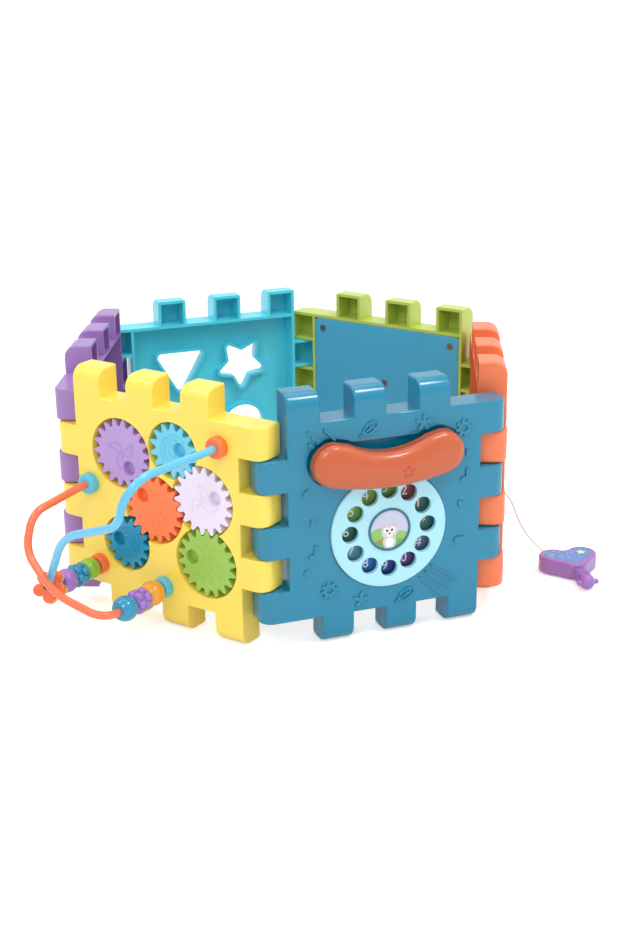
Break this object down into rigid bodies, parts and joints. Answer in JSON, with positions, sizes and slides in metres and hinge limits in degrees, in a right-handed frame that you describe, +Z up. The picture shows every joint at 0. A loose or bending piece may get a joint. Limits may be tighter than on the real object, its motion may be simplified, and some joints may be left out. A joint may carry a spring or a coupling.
{
  "type": "baby activity cube",
  "caption": "Activity cube opened into a standing ring of hinged play panels with gears, bead wires, phone dial, keys, clock and shape holes.",
  "frame": {"origin": "floor level under the middle of the toy's outline without the pull cord and its handle, the bottom tabs standing at Z = 0", "axes": "+Z up, the phone panel's face looks along -Y, +X to its right as seen from the front"},
  "size_m": [0.4576, 0.3524, 0.193],
  "materials": {
    "panel_phone_blue": "gloss",
    "panel_yellow": "satin gloss",
    "panel_orange": "satin gloss",
    "panel_lime": "satin gloss",
    "panel_sky": "satin gloss",
    "panel_purple": "satin gloss",
    "dial_pale_blue": "gloss",
    "dial_print": "printed card",
    "badge_print": "printed, clear coated",
    "bezel_teal": "gloss",
    "screw_steel": "zinc plated",
    "handset_orange": "gloss",
    "trim_orange": "gloss",
    "trim_light_blue": "gloss",
    "clip_white": "moulded",
    "wire_orange": "gloss coating",
    "wire_light_blue": "gloss coating",
    "bead_green": "gloss",
    "bead_teal": "gloss",
    "bead_purple": "gloss",
    "bead_orange_yellow": "gloss",
    "bead_amber": "gloss",
    "reel_white": "moulded",
    "clear_cover": "clear plastic",
    "cord_white": "braided",
    "handle_purple": "gloss",
    "handle_blue": "gloss",
    "key_red": "gloss",
    "key_yellow": "gloss",
    "key_blue": "gloss",
    "key_purple": "gloss",
    "speaker_black": "moulded",
    "board_green": "solder mask",
    "battery_steel": "plated",
    "clock_cream": "gloss",
    "gear_orange": "satin gloss",
    "gear_purple": "satin gloss",
    "gear_lilac_white": "satin gloss",
    "gear_teal": "satin gloss",
    "gear_light_blue": "satin gloss",
    "gear_green": "satin gloss"
  },
  "bodies": {
    "phone": {"phone_panel": "panel_phone_blue", "dial_number_disc": "dial_print"},
    "dial": {"dial_ring": "dial_pale_blue", "dial_badge": "badge_print", "dial_bezel": "bezel_teal", "dial_screw": "screw_steel"},
    "handset": {"handset_front": "handset_orange", "handset_back": "handset_orange", "handset_screws": "screw_steel"},
    "gear_side": {"gear_panel": "panel_yellow", "wire_collars_orange": "trim_orange", "wire_collars_blue": "trim_light_blue", "wire_clips": "clip_white", "wire_orange": "wire_orange", "wire_light_blue": "wire_light_blue"},
    "cord_side": {"cord_panel": "panel_orange", "cord_eyelet": "clip_white", "reel_cover": "clear_cover", "reel_screw": "screw_steel", "pull_cord": "cord_white", "handle_back": "handle_purple", "handle_front": "handle_purple", "handle_inset": "handle_blue", "handle_screws": "screw_steel"},
    "reel": {"reel": "reel_white", "reel_spring": "screw_steel"},
    "music_side": {"music_panel": "panel_lime", "speaker": "speaker_black", "circuit_board": "board_green", "cover_plate": "panel_sky", "cover_screws": "screw_steel", "battery_door": "panel_sky", "battery_door_screw": "screw_steel", "batteries": "battery_steel"},
    "switch": {"slide_switch": "clip_white"},
    "shapes_side": {"shapes_panel": "panel_sky"},
    "clock_side": {"clock_panel": "panel_purple", "clock_face": "clock_cream"},
    "hour": {"hour_hand": "key_red"},
    "minute": {"minute_hand": "key_blue"},
    "key_1": {"key_1": "key_red"},
    "key_2": {"key_2": "key_yellow"},
    "key_3": {"key_3": "key_blue"},
    "key_4": {"key_4": "key_purple"},
    "gear_orange": {"gear_orange": "gear_orange"},
    "gear_purple": {"gear_purple": "gear_purple"},
    "gear_white": {"gear_white": "gear_lilac_white"},
    "gear_teal": {"gear_teal": "gear_teal"},
    "gear_light_blue": {"gear_light_blue": "gear_light_blue"},
    "gear_green": {"gear_green": "gear_green"},
    "bead_green_barrel": {"bead_green_barrel": "bead_green"},
    "bead_teal_knobbly": {"bead_teal_knobbly": "bead_teal"},
    "bead_purple_ball": {"bead_purple_ball": "bead_purple"},
    "bead_star": {"bead_star": "bead_orange_yellow"},
    "bead_amber_ball": {"bead_amber_ball": "bead_amber"},
    "bead_purple_knobbly": {"bead_purple_knobbly": "bead_purple"},
    "bead_blue_ball": {"bead_blue_ball": "bead_teal"}
  },
  "joints": [
    {"name": "phone_gears_hinge", "type": "hinge", "parent": "phone", "child": "gear_side", "pos_m": [-0.04978, -0.14242, 0.0965], "axis": [0, 0, -1], "range_deg": [-53, 37]},
    {"name": "phone_cord_hinge", "type": "hinge", "parent": "phone", "child": "cord_side", "pos_m": [0.12922, -0.14242, 0.0965], "axis": [0, 0, 1], "range_deg": [-16.42, 23.51]},
    {"name": "cord_music_hinge", "type": "hinge", "parent": "cord_side", "child": "music_side", "pos_m": [0.2006, 0.02173, 0.0965], "axis": [0, 0, 1], "range_deg": [-20.6, 29.51]},
    {"name": "music_shapes_hinge", "type": "hinge", "parent": "music_side", "child": "shapes_side", "pos_m": [0.09288, 0.16468, 0.0965], "axis": [0, 0, 1], "range_deg": [-53.01, 37.01]},
    {"name": "gears_clock_hinge", "type": "hinge", "parent": "gear_side", "child": "clock_side", "pos_m": [-0.1575, 0.00053, 0.0965], "axis": [0, 0, -1], "range_deg": [-20.6, 29.51]},
    {"name": "dial_spin", "type": "hinge", "parent": "phone", "child": "dial", "pos_m": [0.04122, -0.15318, 0.084], "axis": [0, -1, 0], "continuous": true},
    {"name": "handset_lift", "type": "slide", "parent": "phone", "child": "handset", "axis": [0, -1, 0], "range_m": [0, 0.04]},
    {"name": "gear_orange_spin", "type": "hinge", "parent": "gear_side", "child": "gear_orange", "pos_m": [-0.11034, -0.07161, 0.093], "axis": [-0.7986, -0.6018, 0], "continuous": true},
    {"name": "gear_purple_spin", "type": "hinge", "parent": "gear_side", "child": "gear_purple", "pos_m": [-0.12756, -0.04876, 0.13154], "axis": [-0.7986, -0.6018, 0], "continuous": true},
    {"name": "gear_white_spin", "type": "hinge", "parent": "gear_side", "child": "gear_white", "pos_m": [-0.08286, -0.10808, 0.1078], "axis": [-0.7986, -0.6018, 0], "continuous": true},
    {"name": "gear_teal_spin", "type": "hinge", "parent": "gear_side", "child": "gear_teal", "pos_m": [-0.12677, -0.0498, 0.06022], "axis": [-0.7986, -0.6018, 0], "continuous": true},
    {"name": "gear_light_blue_spin", "type": "hinge", "parent": "gear_side", "child": "gear_light_blue", "pos_m": [-0.09828, -0.08761, 0.14191], "axis": [-0.7986, -0.6018, 0], "continuous": true},
    {"name": "gear_green_spin", "type": "hinge", "parent": "gear_side", "child": "gear_green", "pos_m": [-0.08193, -0.10931, 0.05982], "axis": [-0.7986, -0.6018, 0], "continuous": true},
    {"name": "bead_green_barrel_spin", "type": "hinge", "parent": "gear_side", "child": "bead_green_barrel", "pos_m": [-0.15843, -0.04036, 0.0384], "axis": [-0.7986, -0.6018, 0], "continuous": true},
    {"name": "bead_teal_knobbly_spin", "type": "hinge", "parent": "gear_side", "child": "bead_teal_knobbly", "pos_m": [-0.16881, -0.04818, 0.0384], "axis": [-0.7986, -0.6018, 0], "continuous": true},
    {"name": "bead_purple_ball_spin", "type": "hinge", "parent": "gear_side", "child": "bead_purple_ball", "pos_m": [-0.17919, -0.05601, 0.0384], "axis": [-0.7986, -0.6018, 0], "continuous": true},
    {"name": "bead_amber_ball_spin", "type": "hinge", "parent": "gear_side", "child": "bead_amber_ball", "pos_m": [-0.12203, -0.09032, 0.033], "axis": [-0.7986, -0.6018, 0], "continuous": true},
    {"name": "bead_purple_knobbly_spin", "type": "hinge", "parent": "gear_side", "child": "bead_purple_knobbly", "pos_m": [-0.13449, -0.09971, 0.033], "axis": [-0.7986, -0.6018, 0], "continuous": true},
    {"name": "bead_blue_ball_spin", "type": "hinge", "parent": "gear_side", "child": "bead_blue_ball", "pos_m": [-0.14695, -0.10909, 0.033], "axis": [-0.7986, -0.6018, 0], "continuous": true},
    {"name": "bead_star_spin", "type": "hinge", "parent": "gear_side", "child": "bead_star", "pos_m": [-0.19326, -0.06876, 0.04112], "axis": [0.434, 0.7367, -0.5185], "continuous": true},
    {"name": "reel_spin", "type": "hinge", "parent": "cord_side", "child": "reel", "pos_m": [0.18075, -0.0258, 0.1025], "axis": [0.9171, -0.3987, 0], "range_deg": [-360, 720], "stiffness_Nm_per_rad": 0.0005},
    {"name": "key_1_press", "type": "slide", "parent": "music_side", "child": "key_1", "axis": [-0.7986, -0.6018, 0], "range_m": [0, 0.0025], "stiffness_N_per_m": 600},
    {"name": "key_2_press", "type": "slide", "parent": "music_side", "child": "key_2", "axis": [-0.7986, -0.6018, 0], "range_m": [0, 0.0025], "stiffness_N_per_m": 600},
    {"name": "key_3_press", "type": "slide", "parent": "music_side", "child": "key_3", "axis": [-0.7986, -0.6018, 0], "range_m": [0, 0.0025], "stiffness_N_per_m": 600},
    {"name": "key_4_press", "type": "slide", "parent": "music_side", "child": "key_4", "axis": [-0.7986, -0.6018, 0], "range_m": [0, 0.0025], "stiffness_N_per_m": 600},
    {"name": "switch_slide", "type": "slide", "parent": "music_side", "child": "switch", "axis": [0, 0, 1], "range_m": [0, 0.006]},
    {"name": "hour_hand_turn", "type": "hinge", "parent": "clock_side", "child": "hour", "pos_m": [-0.13351, 0.08769, 0.0965], "axis": [-0.9171, 0.3987, 0], "continuous": true},
    {"name": "minute_hand_turn", "type": "hinge", "parent": "clock_side", "child": "minute", "pos_m": [-0.13626, 0.08889, 0.0965], "axis": [-0.9171, 0.3987, 0], "continuous": true}
  ],
  "couplings": [
    {"joint": "phone_cord_hinge", "follows": "phone_gears_hinge", "ratio": -0.4434},
    {"joint": "cord_music_hinge", "follows": "phone_gears_hinge", "ratio": -0.5566},
    {"joint": "music_shapes_hinge", "follows": "phone_gears_hinge", "ratio": 1},
    {"joint": "gears_clock_hinge", "follows": "phone_gears_hinge", "ratio": -0.5566},
    {"joint": "gear_purple_spin", "follows": "gear_orange_spin", "ratio": -1},
    {"joint": "gear_white_spin", "follows": "gear_orange_spin", "ratio": -1},
    {"joint": "gear_teal_spin", "follows": "gear_orange_spin", "ratio": -1.2857},
    {"joint": "gear_light_blue_spin", "follows": "gear_orange_spin", "ratio": 1.2857},
    {"joint": "gear_green_spin", "follows": "gear_orange_spin", "ratio": 1}
  ]
}
